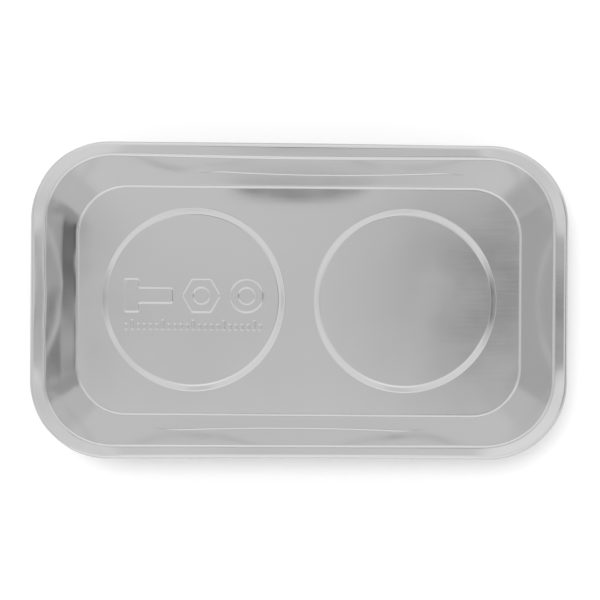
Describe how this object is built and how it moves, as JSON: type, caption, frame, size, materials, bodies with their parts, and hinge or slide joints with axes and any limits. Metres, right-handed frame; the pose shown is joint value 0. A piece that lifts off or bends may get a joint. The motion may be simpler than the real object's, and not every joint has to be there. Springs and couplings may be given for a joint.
{
  "type": "magnetic parts tray",
  "caption": "Shallow pressed stainless-steel tray with rounded corners, a flat rim, raised round pads over magnets and rubber-booted magnetic feet, for sorting small parts.",
  "frame": {"origin": "middle of the plane that the two feet stand on, under the middle of the tray", "axes": "+X along the tray's long side, +Y across it, +Z up through the open mouth; the raised signs are on the pad at -X and read upright when +Y points up"},
  "size_m": [0.24, 0.14, 0.038],
  "materials": {
    "stainless": "satin",
    "fastener_steel": "satin",
    "spring_steel": "satin",
    "plated_steel": "satin",
    "ferrite": "matte",
    "rubber": "matte"
  },
  "bodies": {
    "root": {"tray_shell": "stainless", "left_weld_stud": "fastener_steel", "left_ring_magnet": "ferrite", "left_retaining_plate": "plated_steel", "left_flat_washer": "fastener_steel", "left_spring_washer": "spring_steel", "left_hex_nut": "fastener_steel", "left_rubber_boot": "rubber", "right_weld_stud": "fastener_steel", "right_ring_magnet": "ferrite", "right_retaining_plate": "plated_steel", "right_flat_washer": "fastener_steel", "right_spring_washer": "spring_steel", "right_hex_nut": "fastener_steel", "right_rubber_boot": "rubber"}
  },
  "joints": []
}
